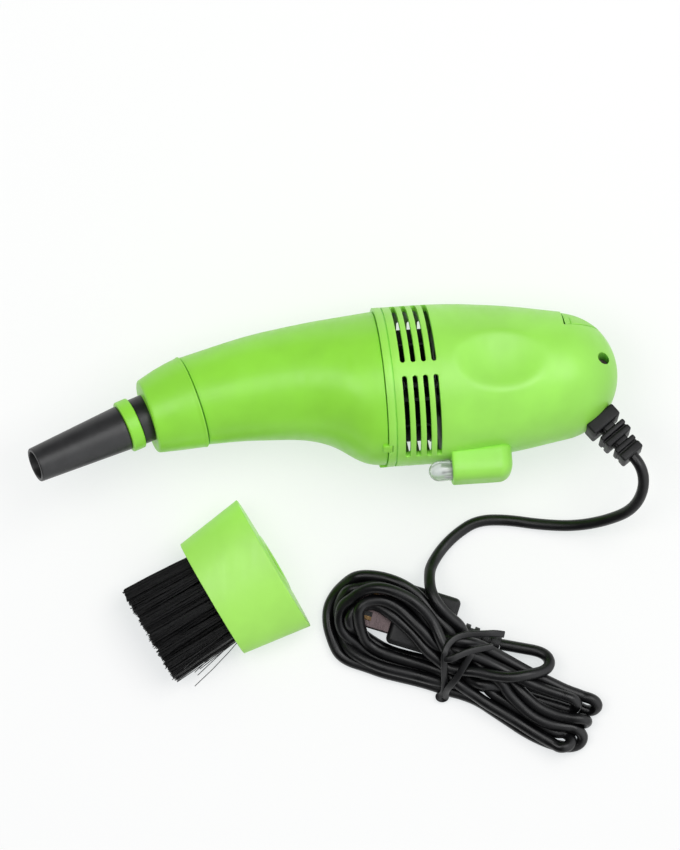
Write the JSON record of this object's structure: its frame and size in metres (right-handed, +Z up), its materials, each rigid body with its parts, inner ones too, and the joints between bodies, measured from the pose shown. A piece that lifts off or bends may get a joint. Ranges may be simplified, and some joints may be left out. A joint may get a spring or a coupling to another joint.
{
  "type": "desktop mini vacuum cleaner",
  "caption": "Hand-held mini vacuum with pull-off dust cup, rubber nozzle, vented motor housing, rocker switch, side lamp, tied USB cord and oval brush head.",
  "frame": {"origin": "on the table, below the middle of the box round the vacuum and its brush head, cord and plug left out", "axes": "+Z up from the table, +X from the nozzle towards the tail, +Y towards the switch side"},
  "size_m": [0.1625, 0.118, 0.043],
  "materials": {
    "green_abs": "satin moulded ABS",
    "green_abs_dark": "moulded ABS, unlit inside",
    "black_abs": "moulded ABS",
    "rubber_grey": "moulded rubber",
    "white_abs": "moulded",
    "steel": "plated",
    "board": "glass-fibre board",
    "clear_epoxy": "clear epoxy",
    "cloth_white": "non-woven",
    "pvc_black": "satin PVC",
    "nylon_black": "nylon bristle",
    "copper_red": "wire insulation",
    "gold": "gold plated"
  },
  "bodies": {
    "housing": {"housing_left": "green_abs", "housing_right": "green_abs", "fan_inlet_plate": "black_abs", "motor_can": "steel", "motor_end_cap": "white_abs", "motor_mount": "black_abs", "switch_body": "black_abs", "circuit_board": "board", "motor_wires": "copper_red", "lamp_pod": "green_abs", "lamp_led": "clear_epoxy", "housing_screw": "steel", "strain_relief": "pvc_black", "cord_lead": "pvc_black", "cord_hank": "pvc_black", "twist_tie": "pvc_black", "plug_grip": "pvc_black", "plug_shell": "steel", "plug_tongue": "white_abs", "plug_contacts": "gold", "plug_relief": "pvc_black"},
    "fan": {"impeller": "black_abs", "motor_shaft": "steel"},
    "rocker": {"switch_rocker": "green_abs"},
    "cup": {"dust_cup": "green_abs", "nose_cone": "green_abs", "nose_spigot": "black_abs"},
    "collar": {"nozzle_collar": "green_abs"},
    "nozzle": {"rubber_nozzle": "rubber_grey"},
    "filter": {"filter_frame": "black_abs", "filter_cloth": "cloth_white"},
    "brush": {"brush_housing": "green_abs", "brush_plate": "black_abs", "brush_tufts": "nylon_black"}
  },
  "joints": [
    {"name": "fan_spin", "type": "hinge", "parent": "housing", "child": "fan", "pos_m": [0.01957, 0.02833, 0.02151], "axis": [0.9947, 0.0661, -0.0785], "continuous": true},
    {"name": "switch_rock", "type": "hinge", "parent": "housing", "child": "rocker", "pos_m": [0.06505, 0.03908, 0.01574], "axis": [-0.0577, -0.2717, -0.9607], "range_deg": [0, 6]},
    {"name": "cup_pull", "type": "slide", "parent": "housing", "child": "cup", "axis": [-0.9918, -0.0945, 0.0863], "range_m": [0, 0.06]},
    {"name": "filter_pull", "type": "slide", "parent": "housing", "child": "filter", "axis": [-0.9918, -0.0945, 0.0863], "range_m": [0, 0.024]},
    {"name": "collar_pull", "type": "slide", "parent": "cup", "child": "collar", "axis": [-0.9072, -0.3874, 0.1641], "range_m": [0, 0.012]},
    {"name": "nozzle_turn", "type": "hinge", "parent": "collar", "child": "nozzle", "pos_m": [-0.058, 0.01614, 0.02962], "axis": [-0.9072, -0.3874, 0.1641], "range_deg": [-180, 180]},
    {"name": "brush_lift", "type": "slide", "parent": "housing", "child": "brush", "axis": [0, 0, 1], "range_m": [0, 0.06]}
  ],
  "couplings": [
    {"joint": "filter_pull", "follows": "cup_pull", "ratio": 0.4}
  ]
}
